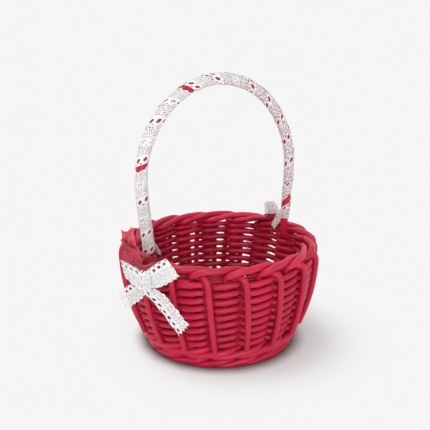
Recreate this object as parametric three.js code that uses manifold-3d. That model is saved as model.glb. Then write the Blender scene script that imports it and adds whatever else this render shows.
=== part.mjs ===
import * as THREE from "three";
import { mergeVertices } from "three/addons/utils/BufferGeometryUtils.js";
import Module from "manifold-3d";

// A small round willow gift basket with an arched handle: stakes, weavers, a waled foot, a woven base,
// a handle bound with lace, and a lace bow over a taffeta ribbon at each end of the handle.
// Millimetres, +Z up, origin on the ground at the middle of the foot, handle in the XZ plane.

const wasm = await Module();
wasm.setup();

// Gap left between pieces that lie against each other
const CLEARANCE = 0.3;

// The woven wall: the middle of its thickness swells from the foot to the border
const WALL_HEIGHT = 106.8;
const WALL_FOOT_RADIUS = 64;
const WALL_TOP_RADIUS = 89.7;
const WALL_SWELL = 2.1;

// Stakes: upright rods that end in the border and turn down again outside the weave
const STAKE_COUNT = 18;
const STAKE_DIAMETER = 5;
const STAKE_SIDES = 5;
const FIRST_STAKE_DEGREES = 5;
const BORDER_SPRING = 0.3;
const OUTER_LEG_TURN = 2.675;

// Side weavers: two strands that chase each other up the wall, each pieced from three rods
const WEAVER_DIAMETER = 3.6;
const WEAVER_SIDES = 5;
const WEAVER_RODS = 3;
const BUTT_GAP = 0.4;

// Foot: two rounds of three-rod wale, pared flat where they stand
const FOOT_ROD_DIAMETER = 4.6;
const FOOT_SIDES = 5;
const FOOT_ROUNDS = 2;
const FOOT_STRANDS = 3;
const FOOT_PARING = 0.5;

// Base: nine sticks laid across each other, opened like spokes and woven with a pair of rods
const STICK_DIAMETER = 4.5;
const STICK_SIDES = 6;
const STICKS_ALONG = 5;
const STICKS_ACROSS = 4;
const STICK_OPENING_RADIUS = 30;
const BASE_WEAVER_DIAMETER = 3.4;
const BASE_WEAVER_SIDES = 5;

// Handle: one rod, thick at its butt end and thin at its tip, pushed down inside the wall
const HANDLE_HEIGHT = 263.2;
const HANDLE_HALF_SPAN = 82.3;
const HANDLE_SHOULDER_HEIGHT = 171.6;
const HANDLE_RIM_GAP = 2.5;
const HANDLE_FOOT_HEIGHT = 46;
const HANDLE_SEAT_HEIGHT = 74;
const HANDLE_BUTT_DIAMETER = 10;
const HANDLE_TIP_DIAMETER = 6.2;
const HANDLE_SIDES = 8;

// Lace: one length wound round the handle, and one length tied in each bow
const LACE_WIDTH = 17;
const LACE_THICKNESS = 0.9;
const LACE_TURNS = 18;
const LACE_SEAM = 1.4;
const LACE_LOOSENESS = 0.45;
const LACE_END_BELOW_RIM = 8;

// Taffeta ribbon that goes over the border and is tied under each lace bow
const RIBBON_WIDTH = 18;
const RIBBON_THICKNESS = 0.8;
const RIBBON_DEPTH = 3.6;

// Bows: where the knots hang, turned round from the handle's plane and below the top of the border
const BOW_DEGREES = 25.3;
const LACE_BOW_DEPTH = 7;
const LACE_KNOT_SIZE = 10;
const LACE_KNOT_DROP = 15;
const RIBBON_KNOT_SIZE = 8;
const RIBBON_KNOT_DROP = 5;
const RIBBON_KNOT_ASIDE = 6;

const WILLOW_RED = 0xb3203c;
const LACE_WHITE = 0xf1efec;
const RIBBON_RED = 0xc42e4c;

const basket = new THREE.Group();
const willow = new THREE.MeshStandardMaterial({ color: WILLOW_RED, roughness: 0.42, metalness: 0 });
const lace = new THREE.MeshStandardMaterial({ color: LACE_WHITE, roughness: 0.9, metalness: 0 });
const taffeta = new THREE.MeshStandardMaterial({ color: RIBBON_RED, roughness: 0.55, metalness: 0 });

function addPiece(name, geometry, material) {
  const mesh = new THREE.Mesh(geometry, material);
  mesh.name = name;
  basket.add(mesh);
}

// Numbers that every rod shares
const radians = THREE.MathUtils.degToRad;
const stakePitch = (2 * Math.PI) / STAKE_COUNT;
const stakeRadius = STAKE_DIAMETER / 2;
const weaverRadius = WEAVER_DIAMETER / 2;
const footRodRadius = FOOT_ROD_DIAMETER / 2;
const stickRadius = STICK_DIAMETER / 2;
const baseWeaverRadius = BASE_WEAVER_DIAMETER / 2;

const stakeAngle = (i) => radians(FIRST_STAKE_DEGREES) + i * stakePitch;
const wallFlare = WALL_TOP_RADIUS - WALL_FOOT_RADIUS;
const belowTop = (z) => Math.max(0, 1 - z / WALL_HEIGHT);
const wallRadius = (z) => WALL_TOP_RADIUS - wallFlare * belowTop(z) ** WALL_SWELL;
const wallLean = (z) => Math.atan((wallFlare * WALL_SWELL * belowTop(z) ** (WALL_SWELL - 1)) / WALL_HEIGHT);
const around = (radius, angle, z) => new THREE.Vector3(radius * Math.cos(angle), radius * Math.sin(angle), z);
// A point at an angle round the wall and a height on it, set off square to the wall
const offWall = (angle, z, offset) =>
  around(wallRadius(z) + offset * Math.cos(wallLean(z)), angle, z - offset * Math.sin(wallLean(z)));
const twoDigits = (n) => String(n).padStart(2, "0");

// A closed skin over a row of rings that have equal numbers of points, with flat ends
function loft(rings) {
  const sides = rings[0].length;
  const last = (rings.length - 1) * sides;
  const index = [];
  for (let k = 0; k < last; k += sides) {
    for (let j = 0; j < sides; j++) {
      const a = k + j;
      const b = k + ((j + 1) % sides);
      index.push(a, b, b + sides, a, b + sides, a + sides);
    }
  }
  for (let j = 1; j < sides - 1; j++) {
    index.push(0, j + 1, j, last, last + j, last + j + 1);
  }
  const positions = rings.flat().flatMap((p) => p.toArray());
  const geometry = new THREE.BufferGeometry();
  geometry.setAttribute("position", new THREE.Float32BufferAttribute(positions, 3));
  geometry.setIndex(index);
  return geometry;
}

const tangentsOf = (points) =>
  points.map((_, k) =>
    new THREE.Vector3()
      .subVectors(points[Math.min(k + 1, points.length - 1)], points[Math.max(k - 1, 0)])
      .normalize(),
  );

// A round rod through its points; radiusAt(share of the way along) lets it taper, up sets its first side
function rod(points, radiusAt, sides, up = new THREE.Vector3(0, 0, 1)) {
  const tangents = tangentsOf(points);
  const normal = up.clone();
  const rings = points.map((point, k) => {
    normal.addScaledVector(tangents[k], -normal.dot(tangents[k])).normalize();
    const side = new THREE.Vector3().crossVectors(tangents[k], normal);
    const radius = radiusAt(k / (points.length - 1));
    return Array.from({ length: sides }, (_, j) => {
      const turn = (2 * Math.PI * j) / sides;
      return point
        .clone()
        .addScaledVector(normal, radius * Math.cos(turn))
        .addScaledVector(side, radius * Math.sin(turn));
    });
  });
  return loft(rings);
}

// A flat strip through its points: across(k) is the direction of its width
function strip(points, across, widthAt, thickness) {
  const tangents = tangentsOf(points);
  const rings = points.map((point, k) => {
    const along = across(k).clone();
    along.addScaledVector(tangents[k], -along.dot(tangents[k])).normalize();
    const face = new THREE.Vector3().crossVectors(tangents[k], along);
    const corners = [[1, 1], [-1, 1], [-1, -1], [1, -1]];
    return corners.map(([a, f]) =>
      point
        .clone()
        .addScaledVector(along, (a * widthAt(k)) / 2)
        .addScaledVector(face, (f * thickness) / 2),
    );
  });
  return loft(rings);
}

function solid(geometry) {
  const bare = geometry.clone();
  bare.deleteAttribute("normal");
  bare.deleteAttribute("uv");
  const merged = mergeVertices(bare, 1e-4);
  return new wasm.Manifold(
    new wasm.Mesh({
      numProp: 3,
      vertProperties: merged.attributes.position.array,
      triVerts: new Uint32Array(merged.index.array),
    }),
  );
}

function geometryOf(manifold) {
  const mesh = manifold.getMesh();
  const geometry = new THREE.BufferGeometry();
  geometry.setAttribute("position", new THREE.BufferAttribute(mesh.vertProperties, 3));
  geometry.setIndex(new THREE.BufferAttribute(mesh.triVerts, 1));
  return geometry;
}

const joined = (geometries) => geometryOf(geometries.map(solid).reduce((a, b) => a.add(b)));

// Everything below the ground is pared away
function paredFlat(geometry) {
  const reach = 4 * WALL_TOP_RADIUS;
  const ground = new THREE.BoxGeometry(reach, reach, reach).translate(0, 0, -reach / 2);
  return geometryOf(solid(geometry).subtract(solid(ground)));
}

// The foot: each strand goes in front of two stakes, rising, and behind the third.
// footWave is how far a strand swings off the wall to clear a stake, footLift how far it rises or dips.
const footNeed = stakeRadius + footRodRadius + CLEARANCE;
const footStakeSpacing = WALL_FOOT_RADIUS * stakePitch;
const footWave = footNeed / Math.sqrt(1 - ((2 * footNeed) / footStakeSpacing) ** 2);
const footTouch = FOOT_ROD_DIAMETER + CLEARANCE;
const footLift = (footTouch * footWave) / Math.sqrt(4 * footWave ** 2 - footTouch ** 2);
const footLean = wallLean(2 * footLift);
const footRoundHeight = 4 * footLift * Math.cos(footLean);
const firstRoundHeight =
  footRodRadius - FOOT_PARING + footLift * Math.cos(footLean) + footWave * Math.sin(footLean);
const roundHeight = (round) => firstRoundHeight + round * footRoundHeight;
const footTop = roundHeight(FOOT_ROUNDS - 1) + (footLift + footRodRadius) * Math.cos(footLean);

// One stroke past three stakes, in half spaces: outward swing in waves, rise in lifts
const FOOT_STROKE = [[-1, 0], [0, -1], [1, -1], [1, 0], [1, 1], [0, 1]];

function footRod(round, strand) {
  const halves = 2 * STAKE_COUNT;
  const first = 2 * (strand + round);
  const points = [];
  for (let step = 0; step <= halves; step++) {
    const [swing, rise] = FOOT_STROKE[step % FOOT_STROKE.length];
    const z = roundHeight(round) + rise * footLift * Math.cos(footLean);
    const trim = (BUTT_GAP / 2 / WALL_FOOT_RADIUS) * (step === 0 ? 1 : step === halves ? -1 : 0);
    points.push(offWall(stakeAngle((first + step) / 2) + trim, z, swing * footWave));
  }
  return paredFlat(rod(points, () => footRodRadius, FOOT_SIDES));
}

for (let round = 0; round < FOOT_ROUNDS; round++) {
  for (let strand = 0; strand < FOOT_STRANDS; strand++) {
    addPiece(`foot_rod_${round * FOOT_STRANDS + strand + 1}`, footRod(round, strand), willow);
  }
}

// The base: sticks lie in the gap between the two inner strands of the foot, one beside each stake
const innerStrand = (round) => offWall(0, roundHeight(round), -footWave);
const baseHeight = (innerStrand(0).z + innerStrand(1).z) / 2;
const stickShift = Math.asin((stickRadius + stakeRadius + CLEARANCE) / wallRadius(baseHeight));
const stickEndRadius = wallRadius(baseHeight) - stakeRadius - footRodRadius;
const stickPitch = STICK_DIAMETER + CLEARANCE;
const stickAngle = (i) => stakeAngle(i) - stickShift;

function baseStick(middleEnd, place, crossing, layer) {
  const lateral = place * stickPitch;
  const straight = (crossing * stickPitch) / 2 + STICK_DIAMETER;
  const bundleAngle = stickAngle(middleEnd);
  const nearEnd = stickAngle(middleEnd + place);
  const farEnd = stickAngle(middleEnd + STAKE_COUNT / 2 - place);
  const turned = (x, y) =>
    around(Math.hypot(x, y), bundleAngle + Math.atan2(y, x), baseHeight + (layer * stickPitch) / 2);
  const points = [
    around(stickEndRadius, farEnd, baseHeight),
    around(STICK_OPENING_RADIUS, farEnd, baseHeight),
    turned(-straight, lateral),
    turned(straight, lateral),
    around(STICK_OPENING_RADIUS, nearEnd, baseHeight),
    around(stickEndRadius, nearEnd, baseHeight),
  ];
  return rod(points, () => stickRadius, STICK_SIDES);
}

for (let k = 0; k < STICKS_ALONG; k++) {
  const place = k - (STICKS_ALONG - 1) / 2;
  addPiece(`base_stick_${k + 1}`, baseStick(0, place, STICKS_ACROSS, -1), willow);
}
for (let k = 0; k < STICKS_ACROSS; k++) {
  const place = k - (STICKS_ACROSS - 1) / 2;
  const middleEnd = STAKE_COUNT / 4;
  addPiece(`base_stick_${STICKS_ALONG + k + 1}`, baseStick(middleEnd, place, STICKS_ALONG, 1), willow);
}

// The tie: one rod round the crossing, over the bundle of five and under the bundle of four
function baseTie() {
  const bend = baseWeaverRadius + CLEARANCE;
  const alongHalf = (STICKS_ALONG * stickPitch) / 2;
  const acrossHalf = (STICKS_ACROSS * stickPitch) / 2;
  const lift = stickRadius + bend - stickPitch / 2;
  const corner = [acrossHalf + bend + baseWeaverRadius, alongHalf + bend + baseWeaverRadius, 0];
  const over = [acrossHalf + bend, alongHalf - bend, lift];
  const under = [acrossHalf - bend, alongHalf + bend, -lift];
  const quarters = [[1, 1], [-1, 1], [-1, -1], [1, -1]];
  const ring = quarters.flatMap(([x, y]) => {
    const corners = [over, corner, under];
    if (x * y < 0) corners.reverse();
    return corners.map(([a, b, c]) =>
      around(Math.hypot(a, b), stickAngle(0) + Math.atan2(y * b, x * a), baseHeight + c),
    );
  });
  const first = ring[0];
  const last = ring[ring.length - 1];
  const butt = first.clone().lerp(last, 0.5);
  const trim = first.clone().sub(last).setLength(BUTT_GAP / 2);
  return rod(
    [butt.clone().add(trim), ...ring, butt.clone().sub(trim)],
    () => baseWeaverRadius,
    BASE_WEAVER_SIDES,
  );
}

addPiece("base_tie", baseTie(), willow);

// Base weavers: a pair that chase each other outward, over one stick and under the next
const baseWeaveInner = STICK_OPENING_RADIUS + BASE_WEAVER_DIAMETER;
const baseWeaveOuter = innerStrand(0).x - footRodRadius - baseWeaverRadius - CLEARANCE;
const baseWeaveWidth = baseWeaveOuter - baseWeaveInner;
const baseRounds = Math.floor(baseWeaveWidth / (2 * (BASE_WEAVER_DIAMETER + CLEARANCE)));
const baseRoundPitch = baseWeaveWidth / baseRounds;
const baseNeed = stickRadius + baseWeaverRadius + CLEARANCE;

function baseWeaver(strand) {
  const steps = baseRounds * STAKE_COUNT;
  const points = [];
  for (let step = 0; step <= steps; step++) {
    const radius = baseWeaveInner + (baseRoundPitch * step) / STAKE_COUNT;
    const spacing = radius * stakePitch;
    const wave = baseNeed / Math.sqrt(1 - ((2 * baseNeed) / spacing) ** 2);
    const over = step % 2 === 0 ? 1 : -1;
    const stick = step + (strand * STAKE_COUNT) / 2;
    points.push(around(radius, stickAngle(stick), baseHeight + over * wave));
  }
  return rod(points, () => baseWeaverRadius, BASE_WEAVER_SIDES);
}

addPiece("base_weaver_a", baseWeaver(0), willow);
addPiece("base_weaver_b", baseWeaver(1), willow);

// Side weavers: each is outside one stake and inside the next, flat for a third of a space as it passes
const rowPitch = WEAVER_DIAMETER + CLEARANCE;
const weaverNeed = stakeRadius + weaverRadius + CLEARANCE;
const passHalf = stakePitch / 6;
const weaveStart = footTop + CLEARANCE + weaverRadius;
const borderRoom = 2 * STAKE_DIAMETER + BORDER_SPRING + 2 * CLEARANCE;
const weaveRounds = Math.floor((WALL_HEIGHT - borderRoom - weaverRadius - weaveStart) / (2 * rowPitch));
const weaveTop = weaveStart + 2 * rowPitch * weaveRounds + weaverRadius;

function sideWeaver(strand, part) {
  const steps = (weaveRounds * STAKE_COUNT) / WEAVER_RODS;
  const begin = part * steps;
  const firstStake = strand * (STAKE_COUNT / 2);
  const at = (stakes, swing) => {
    const z = weaveStart + (2 * rowPitch * stakes) / STAKE_COUNT;
    return offWall(stakeAngle(firstStake + stakes), z, (swing * weaverNeed) / Math.cos(passHalf));
  };
  const cut = BUTT_GAP / 2 / (WALL_TOP_RADIUS * stakePitch);
  const share = passHalf / stakePitch;
  const points = [at(begin + cut, -1)];
  for (let step = 0; step <= steps; step++) {
    const swing = step % 2 === 0 ? -1 : 1;
    if (step > 0) points.push(at(begin + step - share, swing));
    if (step < steps) points.push(at(begin + step + share, swing));
  }
  points.push(at(begin + steps - cut, -1));
  return rod(points, () => weaverRadius, WEAVER_SIDES);
}

["a", "b"].forEach((letter, strand) => {
  for (let part = 0; part < WEAVER_RODS; part++) {
    addPiece(`side_weaver_${letter}${part + 1}`, sideWeaver(strand, part), willow);
  }
});

// Stakes: up inside the weave, over to the right along the border, inside the next two stakes, out under
// the arches of those two and straight down outside the weave to the top of the foot
const stakeTouch = STAKE_DIAMETER + CLEARANCE;
const underArch = weaveTop + CLEARANCE + stakeRadius;
const archCrest = underArch + stakeTouch + BORDER_SPRING;
const stakeFlat = stakeRadius * Math.cos(Math.PI / STAKE_SIDES);
const outerLegOffset = weaverNeed / Math.cos(passHalf) + weaverRadius + CLEARANCE + stakeRadius;
const outerLegRadius = wallRadius(weaveTop) + outerLegOffset + stakeFlat;
const UPRIGHT_STEPS = 4;
const BORDER_STEPS = 20;
const LEG_STEPS = 3;

// One stroke of the border: spaces along, offset from the wall in rod widths, rise as a share of the crest
const BORDER_STROKE = [
  [0.06, 0.42, 0.12],
  [0.22, 0.85, 0.6],
  [0.42, 0.9, 0.97],
  [0.7, 0.6, 1.05],
  [1, 0.05, 1.1],
  [1.3, -0.42, 1.02],
  [1.46, -0.46, 0.85],
  [1.6, -0.52, 0.66],
  [1.8, -0.78, 0.45],
  [2, -1, 0.32],
  [2.18, -0.97, 0.1],
  [2.32, -0.45, 0],
  [2.46, 0.55, 0],
  [2.56, 1.3, 0],
];
const borderRise = Math.max(...BORDER_STROKE.map(([, , rise]) => rise));
const borderTop = THREE.MathUtils.lerp(underArch, archCrest, borderRise) + stakeRadius;
const borderInside = -stakeTouch * Math.min(...BORDER_STROKE.map(([, offset]) => offset));

function stakePoints(i) {
  const at = (spaces, offset, z) => offWall(stakeAngle(i + spaces), z, offset);
  const legTop = weaveTop - stakeRadius;
  const legFoot = footTop + CLEARANCE;
  const below = at(0, 0, -STAKE_DIAMETER);
  const upright = Array.from({ length: UPRIGHT_STEPS }, (_, k) =>
    at(0, 0, (weaveTop * k) / UPRIGHT_STEPS),
  );
  const border = new THREE.CatmullRomCurve3([
    at(0, 0, weaveTop),
    ...BORDER_STROKE.map(([spaces, offset, rise]) =>
      at(spaces, offset * stakeTouch, THREE.MathUtils.lerp(underArch, archCrest, rise)),
    ),
    at(OUTER_LEG_TURN, outerLegOffset, legTop),
  ]);
  const leg = Array.from({ length: LEG_STEPS }, (_, k) => {
    const z = THREE.MathUtils.lerp(legTop, legFoot, (k + 1) / LEG_STEPS);
    return at(OUTER_LEG_TURN, outerLegOffset, z);
  });
  return [below, ...upright, ...border.getSpacedPoints(BORDER_STEPS), ...leg];
}

const stakeLines = Array.from({ length: STAKE_COUNT }, (_, i) => stakePoints(i));
stakeLines.forEach((line, i) => {
  const bent = rod(line, () => stakeRadius, STAKE_SIDES, around(1, stakeAngle(i), 0));
  addPiece(`stake_${twoDigits(i + 1)}`, paredFlat(bent), willow);
});

// The handle: two legs that lie against the inside of the weave, then half an ellipse
const HANDLE_STEPS = 32;
const ARCH_POINTS = 9;
const insideOfWeave = weaverNeed / Math.cos(passHalf) + weaverRadius + CLEARANCE;
const handleRadius = (share) =>
  (HANDLE_TIP_DIAMETER + (HANDLE_BUTT_DIAMETER - HANDLE_TIP_DIAMETER) * (1 - share ** 3)) / 2;

// How far from the axis a leg may stand so that its middle stays this clear of every rod in the border
function insideBorder(side, clear) {
  const besideLeg = stakeLines
    .flat()
    .filter((point) => point.z > weaveTop && side * point.x > 0 && Math.abs(point.y) < clear);
  return Math.min(...besideLeg.map((point) => side * point.x - Math.sqrt(clear ** 2 - point.y ** 2)));
}

function handleLeg(side, radius) {
  const against = (z) => offWall(0, z, -insideOfWeave - radius);
  const leg = [
    against(HANDLE_FOOT_HEIGHT),
    against(HANDLE_SEAT_HEIGHT),
    around(insideBorder(side, radius + stakeRadius + HANDLE_RIM_GAP), 0, archCrest),
  ];
  return leg.map((point) => point.setX(side * point.x));
}

const arch = Array.from({ length: ARCH_POINTS }, (_, k) => {
  const turn = Math.PI * (1 - k / (ARCH_POINTS - 1));
  const rise = HANDLE_HEIGHT - HANDLE_SHOULDER_HEIGHT;
  return new THREE.Vector3(
    HANDLE_HALF_SPAN * Math.cos(turn),
    0,
    HANDLE_SHOULDER_HEIGHT + rise * Math.sin(turn),
  );
});
const handleLine = new THREE.CatmullRomCurve3([
  ...handleLeg(-1, HANDLE_BUTT_DIAMETER / 2),
  ...arch,
  ...handleLeg(1, HANDLE_TIP_DIAMETER / 2).reverse(),
]);
const acrossHandle = new THREE.Vector3(0, 1, 0);
addPiece(
  "handle",
  rod(handleLine.getSpacedPoints(HANDLE_STEPS), handleRadius, HANDLE_SIDES, acrossHandle),
  willow,
);

// The lace winding: a flat band that turns round the handle from rim to rim, edge to edge
const LACE_TURN_STEPS = 8;
const handleLength = handleLine.getLength();
const laceEndHeight = borderTop - LACE_END_BELOW_RIM;

function handleShareAtHeight(z, from, to) {
  let low = from;
  let high = to;
  for (let k = 0; k < 30; k++) {
    const middle = (low + high) / 2;
    if (handleLine.getPointAt(middle).z < z) low = middle;
    else high = middle;
  }
  return low;
}

const laceStart = handleShareAtHeight(laceEndHeight, 0, 0.5) * handleLength;
const laceEnd = handleShareAtHeight(laceEndHeight, 1, 0.5) * handleLength;
const laceTurnLength = (laceEnd - laceStart + LACE_SEAM) / (LACE_TURNS + 1);
const laceBand = laceTurnLength - LACE_SEAM;

function laceCorner(distance, turn, outer) {
  const share = distance / handleLength;
  const tangent = handleLine.getTangentAt(share);
  const normal = new THREE.Vector3().crossVectors(acrossHandle, tangent);
  const inner = (handleRadius(share) + CLEARANCE + LACE_LOOSENESS) / Math.cos(Math.PI / LACE_TURN_STEPS);
  const radius = inner + (outer ? LACE_THICKNESS : 0);
  return handleLine
    .getPointAt(share)
    .addScaledVector(normal, radius * Math.cos(turn))
    .addScaledVector(acrossHandle, radius * Math.sin(turn));
}

const laceRings = Array.from({ length: LACE_TURNS * LACE_TURN_STEPS + 1 }, (_, k) => {
  const turn = (2 * Math.PI * k) / LACE_TURN_STEPS;
  const low = laceStart + (laceTurnLength * k) / LACE_TURN_STEPS;
  const high = low + laceBand;
  return [
    laceCorner(low, turn, false),
    laceCorner(high, turn, false),
    laceCorner(high, turn, true),
    laceCorner(low, turn, true),
  ];
});
const laceGaps = laceRings.slice(LACE_TURN_STEPS).map((ring, k) => ring[0].distanceTo(laceRings[k][1]));
console.log(`lace winding: least gap to itself ${Math.min(...laceGaps).toFixed(2)} mm`);
addPiece("lace_winding", loft(laceRings), lace);

// Bows: limbs lie square to a line out from the axis; a place is (aside, out, up) from the knot
function bowPlace(side, standOff, drop, aside) {
  const angle = radians(BOW_DEGREES) + (side < 0 ? Math.PI : 0);
  const outward = around(1, angle, 0);
  const rightward = around(1, angle + Math.PI / 2, 0);
  const middle = outward.clone().multiplyScalar(standOff).addScaledVector(rightward, aside);
  middle.z = borderTop - drop;
  const up = new THREE.Vector3(0, 0, 1);
  const direction = (a, o, u) =>
    new THREE.Vector3().addScaledVector(rightward, a).addScaledVector(outward, o).addScaledVector(up, u);
  return { direction, at: (a, o, u) => direction(a, o, u).add(middle) };
}

// A limb leaves the knot for its end (aside, up); its profile has shares of its length, depth and width
function bowLimb(place, [aside, up], profile, width, depth, thickness) {
  const length = Math.hypot(aside, up);
  const across = place.direction(-up / length, 0, aside / length);
  const points = profile.map(([share, out]) => place.at(aside * share, depth * out, up * share));
  return strip(points, () => across, (k) => width * profile[k][2], thickness);
}

const LOOP = [
  [0, 0.4, 0.4],
  [0.35, 0.12, 0.75],
  [0.85, 0.12, 1],
  [1, 0.5, 1],
  [0.85, 0.88, 1],
  [0.35, 0.88, 0.75],
  [0, 0.6, 0.4],
];
const TAIL = [[0, 0.5, 0.4], [0.3, 0.3, 0.9], [0.7, 0.25, 1], [1, 0.35, 1]];
const LOBE = [[0, 0.5, 0.4], [0.4, 0.5, 0.9], [1, 0.5, 1]];

function bowKnot(place, size, depth) {
  const knot = new THREE.SphereGeometry(0.5, 6, 4);
  const turned = new THREE.Matrix4().makeBasis(
    place.direction(0, depth, 0),
    place.direction(size, 0, 0),
    place.direction(0, 0, size),
  );
  return knot.applyMatrix4(turned.setPosition(place.at(0, depth / 2, 0)));
}

// Ends of the limbs, aside and up from their knot
const BOWS = {
  near: {
    side: -1,
    laceLoops: [[28, 20], [-33, 7]],
    laceTails: [[-38, -30], [38, -37]],
    ribbonLoops: [[17, 5], [-22, 7]],
    ribbonTails: [[-21, 33]],
  },
  far: {
    side: 1,
    laceLoops: [[8, 29], [-28, -2]],
    laceTails: [[-38, -30], [38, -37]],
    ribbonLoops: [[17, -4], [-14, 2]],
    ribbonTails: [[-13, -24]],
  },
};

function laceBow({ side, laceLoops, laceTails }) {
  const standOff = outerLegRadius + CLEARANCE + 0.75 * RIBBON_DEPTH + CLEARANCE;
  const place = bowPlace(side, standOff, LACE_KNOT_DROP, 0);
  const limb = (end, profile) => bowLimb(place, end, profile, LACE_WIDTH, LACE_BOW_DEPTH, LACE_THICKNESS);
  return joined([
    bowKnot(place, LACE_KNOT_SIZE, LACE_BOW_DEPTH),
    ...laceLoops.map((end) => limb(end, LOOP)),
    ...laceTails.map((end) => limb(end, TAIL)),
  ]);
}

// The ribbon's strap comes from inside the rim, lies over the border and drops behind the knot
function ribbonStrap(place) {
  const reach = RIBBON_KNOT_ASIDE + RIBBON_WIDTH / 2;
  const borderInner = Math.sqrt((WALL_TOP_RADIUS - borderInside - stakeRadius) ** 2 - reach ** 2);
  const inside = borderInner - outerLegRadius - 2 * CLEARANCE - RIBBON_THICKNESS;
  const over = RIBBON_KNOT_DROP + CLEARANCE + RIBBON_THICKNESS / 2;
  const points = [
    place.at(0, inside, over - 2 * STAKE_DIAMETER),
    place.at(0, inside, over - stakeRadius),
    place.at(0, inside + stakeRadius, over),
    place.at(0, -stakeRadius, over),
    place.at(0, RIBBON_THICKNESS, over - stakeRadius),
    place.at(0, RIBBON_THICKNESS, -RIBBON_KNOT_SIZE),
  ];
  return strip(points, () => place.direction(1, 0, 0), () => RIBBON_WIDTH, RIBBON_THICKNESS);
}

function ribbonBow({ side, ribbonLoops, ribbonTails }) {
  const place = bowPlace(side, outerLegRadius + CLEARANCE, RIBBON_KNOT_DROP, -RIBBON_KNOT_ASIDE);
  const limb = (end, profile, thickness) =>
    bowLimb(place, end, profile, RIBBON_WIDTH, RIBBON_DEPTH, thickness);
  return joined([
    bowKnot(place, RIBBON_KNOT_SIZE, RIBBON_DEPTH),
    ribbonStrap(place),
    ...ribbonLoops.map((end) => limb(end, LOBE, RIBBON_DEPTH / 2)),
    ...ribbonTails.map((end) => limb(end, TAIL, RIBBON_THICKNESS)),
  ]);
}

for (const [end, bow] of Object.entries(BOWS)) {
  addPiece(`lace_bow_${end}`, laceBow(bow), lace);
  addPiece(`ribbon_${end}`, ribbonBow(bow), taffeta);
}

export default basket;
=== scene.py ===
import math
import random

import bpy
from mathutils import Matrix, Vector


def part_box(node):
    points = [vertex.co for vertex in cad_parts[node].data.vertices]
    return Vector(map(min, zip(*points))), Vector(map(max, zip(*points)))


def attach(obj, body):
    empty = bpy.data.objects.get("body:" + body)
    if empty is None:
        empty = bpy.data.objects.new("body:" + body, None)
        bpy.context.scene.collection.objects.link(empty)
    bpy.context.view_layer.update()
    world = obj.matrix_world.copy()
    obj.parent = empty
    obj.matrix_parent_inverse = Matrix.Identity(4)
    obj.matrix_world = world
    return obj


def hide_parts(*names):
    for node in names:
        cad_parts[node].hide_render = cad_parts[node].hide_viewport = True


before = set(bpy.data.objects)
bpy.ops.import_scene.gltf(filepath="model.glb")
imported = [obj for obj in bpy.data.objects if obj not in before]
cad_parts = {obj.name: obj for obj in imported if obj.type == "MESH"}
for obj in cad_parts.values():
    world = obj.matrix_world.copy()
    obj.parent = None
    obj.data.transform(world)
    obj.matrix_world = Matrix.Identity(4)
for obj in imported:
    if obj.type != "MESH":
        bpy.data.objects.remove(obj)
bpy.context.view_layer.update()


# Base sticks: nine short willow rods, five laid across four, that open like spokes.
# They are peeled willow, painted with the rest, and their ends are held between the two rounds of the foot.

STAKE_COUNT = 18
STAKE_PITCH = math.tau / STAKE_COUNT
STAKE_RADIUS = 0.0025
FIRST_STAKE = math.radians(5)
WALL_HEIGHT = 0.1068
WALL_FOOT_RADIUS = 0.064
WALL_TOP_RADIUS = 0.0897
WALL_SWELL = 2.1
FOOT_ROD_RADIUS = 0.0023
STICK_RADIUS = 0.00225
STICK_PITCH = 0.0048
STICK_OPENING_RADIUS = 0.030
CLEARANCE = 0.0003


def stake_angle(i):
    return FIRST_STAKE + i * STAKE_PITCH


def below_top(z):
    return max(0.0, 1 - z / WALL_HEIGHT)


def wall_radius(z):
    return WALL_TOP_RADIUS - (WALL_TOP_RADIUS - WALL_FOOT_RADIUS) * below_top(z) ** WALL_SWELL


def wall_lean(z):
    flare = (WALL_TOP_RADIUS - WALL_FOOT_RADIUS) * WALL_SWELL / WALL_HEIGHT
    return math.atan(flare * below_top(z) ** (WALL_SWELL - 1))


def around(radius, angle, z):
    return Vector((radius * math.cos(angle), radius * math.sin(angle), z))


def off_wall(angle, z, offset):
    """A point at an angle round the wall and a height on it, set off square to the wall."""
    lean = wall_lean(z)
    return around(wall_radius(z) + offset * math.cos(lean), angle, z - offset * math.sin(lean))


class Wire:
    """A node socket that can stand in a sum: each operation adds the Math node that works it out."""

    def __init__(self, tree, socket=None):
        self.tree = tree
        self.socket = socket

    def add(self, kind, settings=None, sockets=None, out=0):
        """Adds any other node: its settings first, then the values or links of its sockets."""
        node = self.tree.nodes.new(kind)
        for name, value in (settings or {}).items():
            setattr(node, name, value)
        for name, value in (sockets or {}).items():
            if isinstance(value, Wire):
                self.tree.links.new(value.socket, node.inputs[name])
            else:
                node.inputs[name].default_value = value
        return Wire(self.tree, node.outputs[out]) if len(node.outputs) else None

    def math(self, operation, first, second=0.0):
        return self.add("ShaderNodeMath", {"operation": operation}, {0: first, 1: second})

    def __add__(self, other):
        return self.math("ADD", self, other)

    def __radd__(self, other):
        return self.math("ADD", other, self)

    def __sub__(self, other):
        return self.math("SUBTRACT", self, other)

    def __rsub__(self, other):
        return self.math("SUBTRACT", other, self)

    def __mul__(self, other):
        return self.math("MULTIPLY", self, other)

    def __rmul__(self, other):
        return self.math("MULTIPLY", other, self)

    def mixed(self, first, second):
        """A colour between two others, with this value as the share of the second."""
        # Inputs 6 and 7 and output 2 are the Mix node's sockets for colours
        colour = {"data_type": "RGBA"}
        return self.add("ShaderNodeMix", colour, {"Factor": self, 6: first, 7: second}, out=2)


def finish_of(name):
    """A new material with an empty tree, to draw its nodes on."""
    material = bpy.data.materials.new(name)
    material.use_nodes = True
    material.node_tree.nodes.clear()
    return material, Wire(material.node_tree)


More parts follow.
